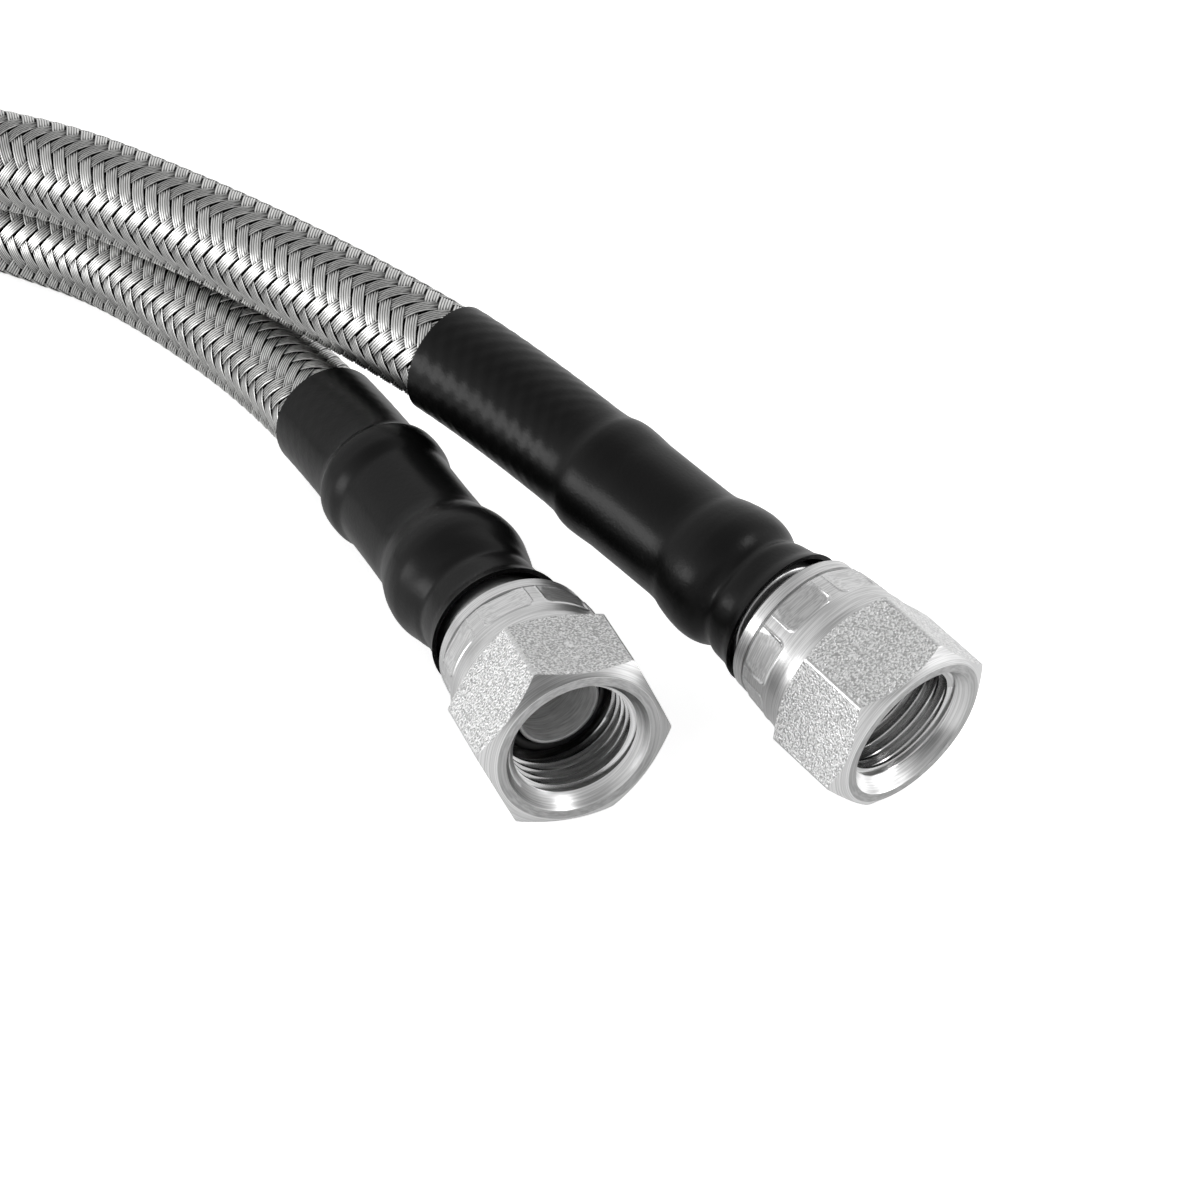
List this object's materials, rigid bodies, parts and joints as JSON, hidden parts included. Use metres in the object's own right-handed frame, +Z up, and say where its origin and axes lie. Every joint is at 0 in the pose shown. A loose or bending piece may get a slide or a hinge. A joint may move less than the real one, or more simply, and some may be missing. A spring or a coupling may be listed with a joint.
{
  "type": "hydraulic hose assembly",
  "caption": "Steel-braided hydraulic hose, looped back on itself, with a crimped swivel fitting at each end: threaded hexagon nut, sealing nipple and black heat-shrink sleeve.",
  "frame": {"origin": "on the surface that the hose lies on, below the middle of the two fittings' bounding box, the free hose left out", "axes": "+Z up, -Y the way nut_b points, +Y back along the two fittings towards the hose's loop"},
  "size_m": [0.3033, 0.3967, 0.0351],
  "materials": {
    "zinc": "zinc plated, satin turned collar and rough hexagon flats",
    "steel": "turned, satin",
    "nitrile": "matt black",
    "shrink": "semi-matt black, shrunk on",
    "liner": "matt black",
    "braid": "bright stainless wire, braided in flat bands"
  },
  "bodies": {
    "hose": {"nipple_a": "steel", "o_ring_a": "nitrile", "ferrule_a": "steel", "heat_shrink_a": "shrink", "braid_end_a": "braid", "liner_end_a": "liner", "nipple_b": "steel", "o_ring_b": "nitrile", "ferrule_b": "steel", "heat_shrink_b": "shrink", "braid_end_b": "braid", "liner_end_b": "liner", "hose_run": "braid"},
    "nut_a": {"nut_a": "zinc"},
    "nut_b": {"nut_b": "zinc"}
  },
  "joints": [
    {"name": "swivel_a", "type": "hinge", "parent": "hose", "child": "nut_a", "pos_m": [0.01863, -0.03457, 0.01728], "axis": [0.3015, -0.9447, -0.1288], "continuous": true},
    {"name": "swivel_b", "type": "hinge", "parent": "hose", "child": "nut_b", "pos_m": [-0.02231, -0.01874, 0.01411], "axis": [0, -0.9984, 0.0558], "continuous": true}
  ]
}
